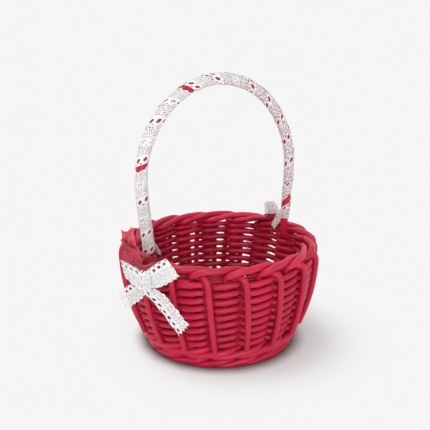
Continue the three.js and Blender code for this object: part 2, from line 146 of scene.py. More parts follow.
def maker_tree(name, sizes):
    """A geometry tree with named inputs, and the wires that come from them."""
    tree = bpy.data.node_groups.new(name, "GeometryNodeTree")
    tree.interface.new_socket("Geometry", in_out="OUTPUT", socket_type="NodeSocketGeometry")
    for label, kind in sizes.items():
        tree.interface.new_socket(label, in_out="INPUT", socket_type="NodeSocket" + kind)
    inputs = tree.nodes.new("NodeGroupInput")
    return tree, {label: Wire(tree, inputs.outputs[label]) for label in sizes}


def made_by(tree, name, sizes):
    """Runs a tree on a new object with these sizes, and leaves the result as a plain mesh."""
    piece = bpy.data.objects.new(name, bpy.data.meshes.new(name))
    bpy.context.scene.collection.objects.link(piece)
    maker = piece.modifiers.new("maker", "NODES")
    maker.node_group = tree
    for item in tree.interface.items_tree:
        if item.in_out == "INPUT":
            maker[item.identifier] = sizes[item.name]
    finished = piece.evaluated_get(bpy.context.evaluated_depsgraph_get())
    mesh = bpy.data.meshes.new_from_object(finished)
    piece.modifiers.clear()
    piece.data = mesh
    return piece


# Red paint on peeled willow: the tone changes from rod to rod, and the grain under it runs along the rod
red_paint, sheet = finish_of("red_painted_willow")
along = sheet.add("ShaderNodeAttribute", {"attribute_name": "along"}, out="Fac")
tone = sheet.add("ShaderNodeAttribute", {"attribute_name": "tone"}, out="Fac")
face = sheet.add("ShaderNodeAttribute", {"attribute_name": "face"}, out="Vector")
rod_place = sheet.add("ShaderNodeVectorMath", {"operation": "MULTIPLY_ADD"}, {
    0: face,
    1: (1, 1, 0),
    2: sheet.add("ShaderNodeCombineXYZ", sockets={"X": tone * 40, "Y": tone * 17, "Z": along * 90}),
})
grain = sheet.add("ShaderNodeTexNoise", sockets={
    "Vector": rod_place, "Scale": 2.6, "Detail": 4, "Roughness": 0.6,
})
blotch = sheet.add("ShaderNodeTexNoise", sockets={
    "Vector": sheet.add("ShaderNodeTexCoord", out="Object"), "Scale": 55, "Detail": 3, "Roughness": 0.55,
})
depth = sheet.add("ShaderNodeMapRange", sockets={
    "Value": grain * 0.45 + blotch * 0.35 + tone * 0.35, "From Min": 0.32, "From Max": 0.82,
})
red = depth.mixed((0.41, 0.006, 0.030, 1), (0.64, 0.016, 0.068, 1))
shine = sheet.add("ShaderNodeBump", sockets={"Strength": 0.22, "Distance": 0.0004, "Height": grain})
surface = sheet.add("ShaderNodeBsdfPrincipled", sockets={
    "Base Color": red,
    "Roughness": 0.24 + grain * 0.22,
    "Specular IOR Level": 0.3,
    "Normal": shine,
})
sheet.add("ShaderNodeOutputMaterial", sockets={"Surface": surface})

# The rod maker: it smooths the lines, gives them the small bends and lumps of willow, and sweeps them round.
# Whatever would lie below the ground is pared flat.
rod_tree, size = maker_tree("willow_rods", {
    "Lines": "Object",
    "Radius": "Float",
    "Step": "Float",
    "Sides": "Int",
    "Lumps": "Float",
    "Wobble": "Float",
    "Seed": "Int",
    "Finish": "Material",
})
lines = size["Lines"].add("GeometryNodeObjectInfo", sockets={"Object": size["Lines"]}, out="Geometry")
lines = lines.add("GeometryNodeCurveSplineType", {"spline_type": "CATMULL_ROM"}, {"Curve": lines})
lines = lines.add("GeometryNodeResampleCurve", {"mode": "LENGTH"}, {"Curve": lines, "Length": size["Step"]})
bends = lines.add("ShaderNodeTexNoise", {"noise_dimensions": "4D"}, {
    "W": size["Seed"] * 1.7, "Scale": 42.0, "Detail": 1.0,
}, out="Color")
bends = bends.add("ShaderNodeVectorMath", {"operation": "SUBTRACT"}, {0: bends, 1: (0.5, 0.5, 0.5)})
bends = bends.add("ShaderNodeVectorMath", {"operation": "SCALE"}, {0: bends, "Scale": size["Wobble"] * 2})
lines = lines.add("GeometryNodeSetPosition", sockets={"Geometry": lines, "Offset": bends})
lines = lines.add("GeometryNodeStoreNamedAttribute", {"data_type": "FLOAT", "domain": "POINT"}, {
    "Geometry": lines, "Name": "along", "Value": lines.add("GeometryNodeSplineParameter", out="Length"),
})
lines = lines.add("GeometryNodeStoreNamedAttribute", {"data_type": "FLOAT", "domain": "CURVE"}, {
    "Geometry": lines, "Name": "tone",
    "Value": lines.add("FunctionNodeRandomValue", {"data_type": "FLOAT"}, {"Seed": size["Seed"]}, out=1),
})
lumps = lines.add("ShaderNodeTexNoise", {"noise_dimensions": "4D"}, {
    "W": size["Seed"] * 2.3, "Scale": 110.0, "Detail": 1.0,
})
thickness = lines.add("GeometryNodeInputRadius") * size["Radius"] * (1 + (lumps - 0.5) * size["Lumps"])
circle = lines.add("GeometryNodeCurvePrimitiveCircle", sockets={"Resolution": size["Sides"], "Radius": 1.0})
circle = circle.add("GeometryNodeStoreNamedAttribute", {"data_type": "FLOAT_VECTOR", "domain": "POINT"}, {
    "Geometry": circle, "Name": "face", "Value": circle.add("GeometryNodeInputPosition"),
})
rods = lines.add("GeometryNodeCurveToMesh", sockets={
    "Curve": lines, "Profile Curve": circle, "Scale": thickness, "Fill Caps": True,
})
spot = rods.add("ShaderNodeSeparateXYZ", sockets={"Vector": rods.add("GeometryNodeInputPosition")})
height = Wire(rod_tree, spot.socket.node.outputs["Z"])
above = rods.add("ShaderNodeCombineXYZ", sockets={
    "X": spot, "Y": Wire(rod_tree, spot.socket.node.outputs["Y"]), "Z": height.math("MAXIMUM", height, 0.0),
})
rods = rods.add("GeometryNodeSetPosition", sockets={"Geometry": rods, "Position": above})
rods = rods.add("GeometryNodeSetShadeSmooth", sockets={"Geometry": rods, "Shade Smooth": True})
rods = rods.add("GeometryNodeRealizeInstances", sockets={"Geometry": rods})
rods = rods.add("GeometryNodeSetMaterial", sockets={"Geometry": rods, "Material": size["Finish"]})
rods.add("NodeGroupOutput", sockets={"Geometry": rods})


def willow_rods(name, paths, radius, nodes, seed, step=0.002, sides=12, lumps=0.16, wobble=0.0002):
    """Painted rods along paths of (point, share of the radius), in place of the solids of these nodes."""
    drawn = bpy.data.curves.new(name, "CURVE")
    drawn.dimensions = "3D"
    for path in paths:
        spline = drawn.splines.new("POLY")
        spline.points.add(len(path) - 1)
        for point, (place, share) in zip(spline.points, path):
            point.co = (*place, 1)
            point.radius = share
    guide = bpy.data.objects.new(name + "_lines", drawn)
    bpy.context.scene.collection.objects.link(guide)
    piece = made_by(rod_tree, name, {
        "Lines": guide, "Radius": radius, "Step": step, "Sides": sides, "Lumps": lumps, "Wobble": wobble,
        "Seed": seed, "Finish": red_paint,
    })
    bpy.data.objects.remove(guide)
    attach(piece, "root")
    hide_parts(*nodes)
    return piece


stick_low, stick_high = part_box("base_stick_3")
base_height = (stick_low[2] + stick_high[2]) / 2 + STICK_PITCH / 4
stick_shift = math.asin((STICK_RADIUS + STAKE_RADIUS + CLEARANCE) / wall_radius(base_height))
stick_end_radius = wall_radius(base_height) - STAKE_RADIUS - FOOT_ROD_RADIUS


def stick_angle(i):
    return stake_angle(i) - stick_shift


def base_stick(middle_end, place, crossing, layer):
    straight = crossing * STICK_PITCH / 2 + 2 * STICK_RADIUS
    near_end = stick_angle(middle_end + place)
    far_end = stick_angle(middle_end + STAKE_COUNT / 2 - place)
    bundle = []
    for x in (-straight, straight):
        aside = place * STICK_PITCH
        turn = stick_angle(middle_end) + math.atan2(aside, x)
        bundle.append(around(math.hypot(x, aside), turn, base_height + layer * STICK_PITCH / 2))
    path = [
        around(stick_end_radius, far_end, base_height),
        around(STICK_OPENING_RADIUS, far_end, base_height),
        *bundle,
        around(STICK_OPENING_RADIUS, near_end, base_height),
        around(stick_end_radius, near_end, base_height),
    ]
    return [(point, 1.0) for point in path]


sticks = [base_stick(0, k - 2, 4, -1) for k in range(5)]
sticks += [base_stick(STAKE_COUNT / 4, k - 1.5, 5, 1) for k in range(4)]
stick_nodes = [f"base_stick_{k}" for k in range(1, 10)]
willow_rods("base_sticks", sticks, STICK_RADIUS, stick_nodes, seed=3, step=0.003)


# Base weave: one thin willow rod tied round the crossing, then a pair of them woven outward.
# The pair goes over one stick and under the next, and fills the base out to the foot.

BASE_WEAVER_RADIUS = 0.0017
BASE_ROUNDS = 3
FOOT_PARING = 0.0005

bend = BASE_WEAVER_RADIUS + CLEARANCE
half_long = 5 * STICK_PITCH / 2
half_short = 4 * STICK_PITCH / 2
tie_lift = STICK_RADIUS + bend - STICK_PITCH / 2
tie_corners = [
    (half_short + bend, half_long - bend, tie_lift),
    (half_short + bend + BASE_WEAVER_RADIUS, half_long + bend + BASE_WEAVER_RADIUS, 0.0),
    (half_short - bend, half_long + bend, -tie_lift),
]
tie = []
for x, y in ((1, 1), (-1, 1), (-1, -1), (1, -1)):
    for a, b, c in tie_corners if x * y > 0 else reversed(tie_corners):
        turn = stick_angle(0) + math.atan2(y * b, x * a)
        tie.append((around(math.hypot(a, b), turn, base_height + c), 1.0))
tie.append((tie[0][0].lerp(tie[-1][0], 0.1), 1.0))

foot_need = STAKE_RADIUS + FOOT_ROD_RADIUS + CLEARANCE
foot_wave = foot_need / math.sqrt(1 - (2 * foot_need / (WALL_FOOT_RADIUS * STAKE_PITCH)) ** 2)
foot_touch = 2 * FOOT_ROD_RADIUS + CLEARANCE
foot_lift = foot_touch * foot_wave / math.sqrt(4 * foot_wave ** 2 - foot_touch ** 2)
foot_lean = wall_lean(2 * foot_lift)


def foot_round_height(round_number):
    first = FOOT_ROD_RADIUS - FOOT_PARING + foot_lift * math.cos(foot_lean) + foot_wave * math.sin(foot_lean)
    return first + round_number * 4 * foot_lift * math.cos(foot_lean)


weave_inner = STICK_OPENING_RADIUS + 2 * BASE_WEAVER_RADIUS
inner_strand = off_wall(0, foot_round_height(0), -foot_wave)
weave_outer = inner_strand.x - FOOT_ROD_RADIUS - BASE_WEAVER_RADIUS - CLEARANCE
base_need = STICK_RADIUS + BASE_WEAVER_RADIUS + CLEARANCE
base_weave = [tie]
for strand in range(2):
    path = []
    for step in range(BASE_ROUNDS * STAKE_COUNT + 1):
        radius = weave_inner + (weave_outer - weave_inner) * step / (BASE_ROUNDS * STAKE_COUNT)
        wave = base_need / math.sqrt(1 - (2 * base_need / (radius * STAKE_PITCH)) ** 2)
        over = 1 if step % 2 == 0 else -1
        turn = stick_angle(step + strand * STAKE_COUNT / 2)
        path.append((around(radius, turn, base_height + over * wave), 1.0))
    base_weave.append(path)
base_nodes = ["base_tie", "base_weaver_a", "base_weaver_b"]
willow_rods("base_weave", base_weave, BASE_WEAVER_RADIUS, base_nodes, seed=5, sides=10)


# Foot: two rounds of three-rod wale that lock the stakes to the base.
# Each willow rod passes in front of two stakes, rising, and behind the third, and is pared at the ground.

FOOT_FULLNESS = 1.46
FOOT_BUTT = 1.06
FOOT_TAPER = 0.12
FOOT_ROUND_GAP = 0.0012
FOOT_RISE = 1.1
FOOT_OUT = 1.1
FOOT_IN = 0.9
FOOT_UNEVEN = 0.0002

# One stroke of the foot at every half space: how far in or out of the wall it is, and its rise
FOOT_STROKE = [(-1, 0), (0.6, -1), (1, -1), (1, 0), (1, 1), (0, 1)]

# The maker's hand is never quite even, and its small errors come from a fixed seed
hand = random.Random(7)
foot_paths = []
for round_number in range(2):
    for strand in range(3):
        path = []
        for step in range(2 * STAKE_COUNT + 1):
            swing, rise = FOOT_STROKE[step % len(FOOT_STROKE)]
            swing *= FOOT_OUT if swing > 0 else FOOT_IN
            z = foot_round_height(round_number) + FOOT_ROUND_GAP * round_number
            z += FOOT_RISE * rise * foot_lift * math.cos(foot_lean)
            angle = stake_angle(strand + round_number + step / 2)
            share = FOOT_BUTT - FOOT_TAPER * step / (2 * STAKE_COUNT)
            offset = swing * foot_wave + hand.uniform(-FOOT_UNEVEN, FOOT_UNEVEN)
            path.append((off_wall(angle, z, offset), share))
        foot_paths.append(path)
foot_nodes = [f"foot_rod_{k}" for k in range(1, 7)]
willow_rods("foot_wale", foot_paths, FOOT_FULLNESS * FOOT_ROD_RADIUS, foot_nodes, seed=11)
foot_top = foot_round_height(1) + (foot_lift + FOOT_ROD_RADIUS) * math.cos(foot_lean)


# Side weave: two strands of thin willow that twist round each other between the stakes, in nine rounds.
# Each goes outside one stake, rising, and inside the next, falling, and is pieced from three rods.

WEAVER_RADIUS = 0.0018
ROW_PITCH = 2 * WEAVER_RADIUS + CLEARANCE
WEAVE_ROUNDS = 9
RODS_TO_A_STRAND = 3
POINTS_TO_A_SPACE = 6
STROKE_CLIMB = 0.0013
STROKE_SQUARENESS = 1.5
WEAVE_FULLNESS = 1.12
FULLER_AT_STAKES = 0.36
FULL_SWING = 0.6
FULLER_HIGH_UP = 0.12
FULLER_FROM_ROUND = 3
FULLER_ROUNDS = 4
TIP_SPACES = 11
TIP_THINNING = 0.45
TIP_LEVELLING = 0.6

weave_start = foot_top + CLEARANCE + WEAVER_RADIUS
weave_top = weave_start + 2 * ROW_PITCH * WEAVE_ROUNDS + WEAVER_RADIUS
weaver_swing = (STAKE_RADIUS + WEAVER_RADIUS + CLEARANCE) / math.cos(STAKE_PITCH / 6)

weave_paths = []
for strand in range(2):
    for part in range(RODS_TO_A_STRAND):
        spaces = WEAVE_ROUNDS * STAKE_COUNT // RODS_TO_A_STRAND
        last = part == RODS_TO_A_STRAND - 1
        stout = hand.uniform(0.97, 1.03)
        path = []
        for step in range((spaces + TIP_SPACES * last) * POINTS_TO_A_SPACE + 1):
            passed = part * spaces + step / POINTS_TO_A_SPACE
            phase = math.pi * (passed + strand)
            # The tips run on level over the round below and thin out, so the top is closed
            rounds = min(passed / STAKE_COUNT, WEAVE_ROUNDS)
            tip = max(0, step / POINTS_TO_A_SPACE - spaces) / TIP_SPACES
            climb = STROKE_CLIMB * math.sin(phase) * (1 - TIP_LEVELLING * tip)
            z = weave_start + 2 * ROW_PITCH * rounds - climb
            swing = -math.tanh(STROKE_SQUARENESS * math.cos(phase)) / math.tanh(STROKE_SQUARENESS)
            at_stake = min(abs(swing) / FULL_SWING, 1)
            high_up = min(max((rounds - FULLER_FROM_ROUND) / FULLER_ROUNDS, 0), 1)
            full = 1.0 + FULLER_AT_STAKES * at_stake + FULLER_HIGH_UP * high_up
            share = stout * full * (1 - TIP_THINNING * tip)
            path.append((off_wall(stake_angle(passed), z, swing * weaver_swing), share))
        weave_paths.append(path)
weave_nodes = [f"side_weaver_{letter}{k}" for letter in "ab" for k in (1, 2, 3)]
willow_rods("side_weave", weave_paths, WEAVE_FULLNESS * WEAVER_RADIUS, weave_nodes, seed=17,
            step=0.0022, sides=10, lumps=0.14)


# Stakes: eighteen willow rods that stand up inside the weave, and are also the border.
# Each is bent over to the right, passes inside the next two, comes out under their arches and runs down
# outside the weave as far as the foot.

STAKE_FULLNESS = 1.15
STAKE_PARTS = 6
BORDER_SPRING = 0.0003
BORDER_SHARE = 1.10
LEG_SHARE = 1.04
LEG_TAPER = 0.02
LEG_TURN = 2.53
LEG_DRIFT = 0.19
LEG_PRESS = 0.0006
LEG_END_GAP = 0.003

# One stroke of the border: spaces along, offset from the wall in rod widths, rise as a share of the crest
BORDER_STROKE = [
    (0.06, 0.42, 0.12),
    (0.22, 0.85, 0.60),
    (0.42, 0.90, 0.97),
    (0.70, 0.60, 1.05),
    (1.00, 0.05, 1.10),
    (1.30, -0.42, 1.02),
    (1.46, -0.46, 0.85),
    (1.60, -0.52, 0.66),
    (1.80, -0.78, 0.45),
    (2.00, -1.00, 0.32),
    (2.15, -0.97, 0.10),
    (2.26, -0.45, 0.00),
    (2.37, 0.55, 0.00),
    (2.45, 1.25, -0.06),
]

stake_touch = 2 * STAKE_RADIUS + CLEARANCE
under_arch = weave_top + CLEARANCE + STAKE_RADIUS
arch_crest = under_arch + stake_touch + BORDER_SPRING
border_rise = max(rise for spaces, offset, rise in BORDER_STROKE)
border_top = under_arch + border_rise * (arch_crest - under_arch) + STAKE_RADIUS
leg_offset = weaver_swing + WEAVER_RADIUS + CLEARANCE + STAKE_RADIUS

leg_top = weave_top - STAKE_RADIUS
upright_heights = [weave_top * k / STAKE_PARTS for k in range(STAKE_PARTS + 1)]
shares = [1.0] * len(upright_heights) + [BORDER_SHARE] * len(BORDER_STROKE)
shares += [LEG_SHARE - LEG_TAPER * k for k in range(STAKE_PARTS + 1)]

stake_paths = []
for i in range(STAKE_COUNT):
    lift = hand.uniform(-0.0005, 0.0006)
    lean = hand.uniform(-0.03, 0.03)
    bow = hand.uniform(0.0002, 0.0014)
    path = [off_wall(stake_angle(i), z, 0.0) for z in upright_heights]
    for spaces, offset, rise in BORDER_STROKE:
        z = under_arch + rise * (arch_crest - under_arch) + lift * max(rise, 0)
        path.append(off_wall(stake_angle(i + spaces), z, offset * stake_touch))
    for k in range(STAKE_PARTS + 1):
        down = k / STAKE_PARTS
        z = leg_top + (foot_top + LEG_END_GAP - leg_top) * down
        offset = leg_offset - LEG_PRESS + bow * math.sin(math.pi * down)
        turn = LEG_TURN + (LEG_DRIFT + lean) * down
        path.append(off_wall(stake_angle(i + turn), z, offset))
    stake_paths.append(list(zip(path, shares)))
stake_nodes = [f"stake_{k:02d}" for k in range(1, STAKE_COUNT + 1)]
willow_rods("stakes", stake_paths, STAKE_FULLNESS * STAKE_RADIUS, stake_nodes, seed=23,
            sides=14, lumps=0.12)


# Handle: one stout willow rod, thick at the near butt and thin at the far tip, bent into an arch.
# Both ends are pushed down inside the woven wall, and paint covers what the lace leaves bare.

HANDLE_HEIGHT = 0.2632
HANDLE_HALF_SPAN = 0.0823
HANDLE_SHOULDER = 0.1716
HANDLE_BUTT_RADIUS = 0.0050
HANDLE_TIP_RADIUS = 0.0031
HANDLE_SEAT_HEIGHTS = (0.046, 0.074)
HANDLE_PARTS = 16
ARCH_PARTS = 8
NEAR_RIM_PLACE = 0.0764
FAR_RIM_PLACE = 0.0782
FAR_TIP_OFFSET = -0.0005
FAR_BEND_HEIGHT = 0.092
FAR_BEND_OFFSET = -0.0045

inside_of_weave = weaver_swing + WEAVER_RADIUS + CLEARANCE


def handle_leg(side, offset, rim_place):
    leg = [off_wall(0, z, offset) for z in HANDLE_SEAT_HEIGHTS]
    leg.append(Vector((rim_place, 0, arch_crest)))
    return [Vector((side * point.x, 0, point.z)) for point in leg]


def smooth_line(points, parts):
    """Points on a smooth curve through the given ones, with this many parts between each two."""
    padded = [2 * points[0] - points[1], *points, 2 * points[-1] - points[-2]]
    line = []
    for k in range(1, len(padded) - 2):
        a, b, c, d = padded[k - 1:k + 3]
        for j in range(parts):
            t = j / parts
            bent = (2 * a - 5 * b + 4 * c - d) * t ** 2 + (3 * b - 3 * c + d - a) * t ** 3
            line.append((2 * b + (c - a) * t + bent) / 2)
    line.append(points[-1].copy())
    return line


arch = []
for k in range(ARCH_PARTS + 1):
    turn = math.pi * (1 - k / ARCH_PARTS)
    rise = (HANDLE_HEIGHT - HANDLE_SHOULDER) * math.sin(turn)
    arch.append(Vector((HANDLE_HALF_SPAN * math.cos(turn), 0, HANDLE_SHOULDER + rise)))
near_leg = handle_leg(-1, -inside_of_weave - HANDLE_BUTT_RADIUS, NEAR_RIM_PLACE)
# The thin tip slips in behind the inner strokes of the weave, the stout butt stays in front of them
far_leg = handle_leg(1, FAR_TIP_OFFSET, FAR_RIM_PLACE)
far_leg.insert(2, off_wall(0, FAR_BEND_HEIGHT, FAR_BEND_OFFSET))
handle_line = smooth_line([*near_leg, *arch, *reversed(far_leg)], HANDLE_PARTS)
handle_reach = [0.0]
for a, b in zip(handle_line, handle_line[1:]):
    handle_reach.append(handle_reach[-1] + (b - a).length)


def handle_radius(distance):
    share = distance / handle_reach[-1]
    return HANDLE_TIP_RADIUS + (HANDLE_BUTT_RADIUS - HANDLE_TIP_RADIUS) * (1 - share ** 3)


handle_path = [(p, handle_radius(d) / HANDLE_BUTT_RADIUS) for p, d in zip(handle_line, handle_reach)]
willow_rods("handle_rod", [handle_path], HANDLE_BUTT_RADIUS, ["handle"], seed=29,
            step=0.004, sides=20, lumps=0.05)


# Lace winding: one length of white cotton eyelet lace, wound round the handle from one bow to the other.
# It has a straight edge with a row of slits, a row of eyelets, a net ground and a scalloped edge.

LACE_WIDTH = 0.017
LACE_REPEAT = 0.007
LACE_SCALLOP = 0.0012
LACE_LIFT = 0.0008
LACE_LAP_LIFT = 0.0005
# The net ground: the pitch of its holes and of its rows, where its first row lies across the strip, and a
# hole's half size
NET_PITCH = 0.00175
NET_ROW = 0.0014
NET_FOOT = 0.0073
NET_HOLE = 0.0005

white_lace, sheet = finish_of("white_cotton_lace")
flat = sheet.add("ShaderNodeAttribute", {"attribute_name": "flat"}, out="Vector")
threads = sheet.add("ShaderNodeTexWave", {"wave_type": "BANDS", "bands_direction": "DIAGONAL"}, {
    "Vector": flat, "Scale": 620.0, "Distortion": 3.0, "Detail": 2.0, "Detail Scale": 2.0,
})
fuzz = sheet.add("ShaderNodeTexNoise", sockets={"Vector": flat, "Scale": 900.0, "Detail": 3.0})
# Coarse grey specks in the lace's colour are painted shade: the shadows of its threads, and of the lace
# below seen through its net. Towards the far end they turn dark red, where the rod shows through.
thread_shadow_specks = sheet.add("ShaderNodeTexNoise", sockets={"Vector": flat, "Scale": 560.0, "Detail": 2.0})
shade = sheet.add("ShaderNodeMapRange", sockets={
    "Value": threads * 0.2 + fuzz * 0.2 + thread_shadow_specks, "From Min": 0.50, "From Max": 0.76,
})
thin = sheet.add("ShaderNodeAttribute", {"attribute_name": "thin"}, out="Fac")
gaps = thin.mixed((0.58, 0.57, 0.57, 1), (0.36, 0.13, 0.17, 1))
white = shade.mixed(gaps, (0.97, 0.965, 0.96, 1))
raised = sheet.add("ShaderNodeBump", sockets={
    "Strength": 0.55, "Distance": 0.0004, "Height": threads * 0.6 + fuzz * 0.4,
})
surface = sheet.add("ShaderNodeBsdfPrincipled", sockets={
    "Base Color": white, "Roughness": 0.78 + fuzz * 0.2, "Specular IOR Level": 0.25, "Normal": raised,
})
sheet.add("ShaderNodeOutputMaterial", sockets={"Surface": surface})


def outline(middle_x, middle_y, half_x, half_y, corners, tilt=0.0):
    """A hole's corners, as an ellipse that may be tilted."""
    ring = []
    for k in range(corners):
        turn = math.tau * (k + 0.5) / corners
        x = half_x * math.cos(turn)
        y = half_y * math.sin(turn)
        ring.append((
            middle_x + x * math.cos(tilt) - y * math.sin(tilt),
            middle_y + x * math.sin(tilt) + y * math.cos(tilt),
        ))
    return ring


# One repeat of the lace, flat: its outline, then a slit, an eyelet, the net and two leaves
side_spots = [LACE_WIDTH * k / 8 for k in range(1, 8)]
edge = [(LACE_REPEAT * k / 4, 0) for k in range(5)]
edge += [(LACE_REPEAT, y) for y in side_spots]
for k in range(7):
    swell = LACE_SCALLOP * math.sin(math.pi * k / 6)
    edge.append((LACE_REPEAT * (1 - k / 6), LACE_WIDTH - LACE_SCALLOP + swell))
edge += [(0, y) for y in reversed(side_spots)]
slit = outline(0.0055, 0.0010, 0.00150, 0.00042, 6)
eyelet = outline(0.0022, 0.0034, 0.00205, 0.00130, 10, tilt=0.3)
holes = [slit, eyelet]
for row in range(5):
    shift = NET_PITCH / 2 if row % 2 else 0.0
    for k in range(4 - row % 2):
        x = NET_PITCH / 2 + NET_PITCH * k + shift
        holes.append(outline(x, NET_FOOT + NET_ROW * row, NET_HOLE, NET_HOLE, 4, tilt=math.pi / 4))
for x, tilt in ((0.0021, 0.5), (0.0049, -0.5)):
    holes.append(outline(x, 0.0146, 0.00050, 0.00090, 6, tilt=tilt))
drawn = bpy.data.curves.new("lace_repeat", "CURVE")
drawn.dimensions = "3D"
for ring in (edge, *holes):
    spline = drawn.splines.new("POLY")
    spline.points.add(len(ring) - 1)
    for point, (x, y) in zip(spline.points, ring):
        point.co = (x, y, 0, 1)
    spline.use_cyclic_u = True
lace_repeat = bpy.data.objects.new("lace_repeat", drawn)
bpy.context.scene.collection.objects.link(lace_repeat)

# The lace maker: repeats in a row, sewn together, then laid on a form by the form's own map
lace_tree, size = maker_tree("lace_on_a_form", {
    "Repeat": "Object",
    "Repeat Length": "Float",
    "Repeats": "Int",
    "Width": "Float",
    "Form": "Object",
    "Finish": "Material",
})
pattern = size["Repeat"].add("GeometryNodeObjectInfo", sockets={"Object": size["Repeat"]}, out="Geometry")
pattern = pattern.add("GeometryNodeFillCurve", {"mode": "TRIANGLES"}, {"Curve": pattern})
row = pattern.add("GeometryNodeMeshLine", {"mode": "OFFSET"}, {
    "Count": size["Repeats"],
    "Offset": pattern.add("ShaderNodeCombineXYZ", sockets={"X": size["Repeat Length"]}),
})
row = row.add("GeometryNodeInstanceOnPoints", sockets={"Points": row, "Instance": pattern})
row = row.add("GeometryNodeRealizeInstances", sockets={"Geometry": row})
row = row.add("GeometryNodeMergeByDistance", sockets={"Geometry": row, "Distance": 0.00001})
row = row.add("GeometryNodeStoreNamedAttribute", {"data_type": "FLOAT_VECTOR", "domain": "POINT"}, {
    "Geometry": row, "Name": "flat", "Value": row.add("GeometryNodeInputPosition"),
})
whole = row.add("ShaderNodeCombineXYZ", sockets={
    "X": size["Repeat Length"] * size["Repeats"], "Y": size["Width"], "Z": 1.0,
})
share = row.add("ShaderNodeVectorMath", {"operation": "DIVIDE"}, {
    0: row.add("GeometryNodeInputPosition"), 1: whole,
})
# Every point is kept a little inside the edge of the map, so that it finds its place on the form
share = row.add("ShaderNodeVectorMath", {"operation": "MULTIPLY_ADD"}, {
    0: share, 1: (0.9996, 0.9996, 0), 2: (0.0002, 0.0002, 0),
})
form = row.add("GeometryNodeObjectInfo", sockets={"Object": size["Form"]}, out="Geometry")
laid = row.add("GeometryNodeSampleUVSurface", {"data_type": "FLOAT_VECTOR"}, {
    "Mesh": form,
    "Value": row.add("GeometryNodeInputPosition"),
    "UV Map": row.add("GeometryNodeInputNamedAttribute", {"data_type": "FLOAT_VECTOR"}, {"Name": "form"}),
    "Sample UV": share,
})
row = row.add("GeometryNodeSetPosition", sockets={"Geometry": row, "Position": laid})
row = row.add("GeometryNodeSetShadeSmooth", sockets={"Geometry": row, "Shade Smooth": True})
row = row.add("GeometryNodeRealizeInstances", sockets={"Geometry": row})
row = row.add("GeometryNodeSetMaterial", sockets={"Geometry": row, "Material": size["Finish"]})
row.add("NodeGroupOutput", sockets={"Geometry": row})


def row_lengths(rows):
    """How far along the middle of a strip each of its rows lies."""
    middle = len(rows[0]) // 2
    reach = [0.0]
    for a, b in zip(rows, rows[1:]):
        reach.append(reach[-1] + (b[middle] - a[middle]).length)
    return reach


def strip_mesh(name, rows):
    """A strip of quads through rows of points, with a map from 0 to 1 along and across."""
    across = len(rows[0])
    reach = row_lengths(rows)
    points = [point for line in rows for point in line]
    faces = []
    for k in range(len(rows) - 1):
        for j in range(across - 1):
            a = k * across + j
            faces.append((a, a + across, a + across + 1, a + 1))
    mesh = bpy.data.meshes.new(name)
    mesh.from_pydata(points, [], faces)
    plan = mesh.uv_layers.new(name="form")
    for corner in mesh.loops:
        k, j = divmod(corner.vertex_index, across)
        plan.data[corner.index].uv = (reach[k] / reach[-1], j / (across - 1))
    piece = bpy.data.objects.new(name, mesh)
    bpy.context.scene.collection.objects.link(piece)
    return piece


def lace_on(name, rows):
    """Lace laid on a strip form, with the length that it was cut to."""
    form = strip_mesh(name + "_form", rows)
    repeats = round(row_lengths(rows)[-1] / LACE_REPEAT)
    piece = made_by(lace_tree, name, {
        "Repeat": lace_repeat, "Repeat Length": LACE_REPEAT, "Repeats": repeats, "Width": LACE_WIDTH,
        "Form": form, "Finish": white_lace,
    })
    bpy.data.objects.remove(form)
    return piece, repeats * LACE_REPEAT


def handle_spot(distance):
    """The handle's middle line at a distance along it, and its direction there."""
    k = 0
    while k < len(handle_reach) - 2 and handle_reach[k + 1] < distance:
        k += 1
    share = (distance - handle_reach[k]) / (handle_reach[k + 1] - handle_reach[k])
    return handle_line[k].lerp(handle_line[k + 1], share), (handle_line[k + 1] - handle_line[k]).normalized()


# Where each turn's straight edge crosses the outward side, and how far the turn below laps under it:
# three seams are left open and show the rod, and a few only show it through the eyelets
SEAMS = [
    (0.0533, 0.0060), (0.0705, 0.0030), (0.0860, 0.0065), (0.1020, 0.0005), (0.1200, 0.0065),
    (0.1407, -0.0055), (0.1580, 0.0065), (0.1765, 0.0020), (0.2000, 0.0055), (0.2255, -0.0050),
    (0.2490, 0.0000), (0.2700, 0.0055), (0.2870, 0.0010), (0.3110, 0.0040), (0.3360, 0.0010),
    (0.3580, 0.0020), (0.3820, 0.0005), (0.4080, 0.0030), (0.4335, -0.0100), (0.4580, 0.0040),
    (0.4724, 0.0000),
]
LACE_PARTS = 24
OUTWARD_PART = 16
LACE_ACROSS = 8
LACE_FOOT_DROP = 0.008
FAR_LACE_GAP = 0.016

lace_foot = border_top - LACE_FOOT_DROP
crossings = [d for p, d in zip(handle_line, handle_reach) if p.z > lace_foot]
lace_start = crossings[0]
lace_end = crossings[-1] - FAR_LACE_GAP
seam_turns = [0.0] + [k + OUTWARD_PART / LACE_PARTS for k in range(len(SEAMS))]
seam_spots = [lace_start] + [spot for spot, lap in SEAMS]


def seam_at(turns):
    """How far along the handle the straight edge lies after so many turns."""
    k = 0
    while k < len(seam_turns) - 2 and seam_turns[k + 1] < turns:
        k += 1
    share = (turns - seam_turns[k]) / (seam_turns[k + 1] - seam_turns[k])
    return seam_spots[k] + (seam_spots[k + 1] - seam_spots[k]) * share


def lap_at(turns):
    """How far the turn that starts here runs on under the next one."""
    place = min(max(turns + 1 - OUTWARD_PART / LACE_PARTS, 0), len(SEAMS) - 1.001)
    k = int(place)
    return SEAMS[k][1] + (SEAMS[k + 1][1] - SEAMS[k][1]) * (place - k)


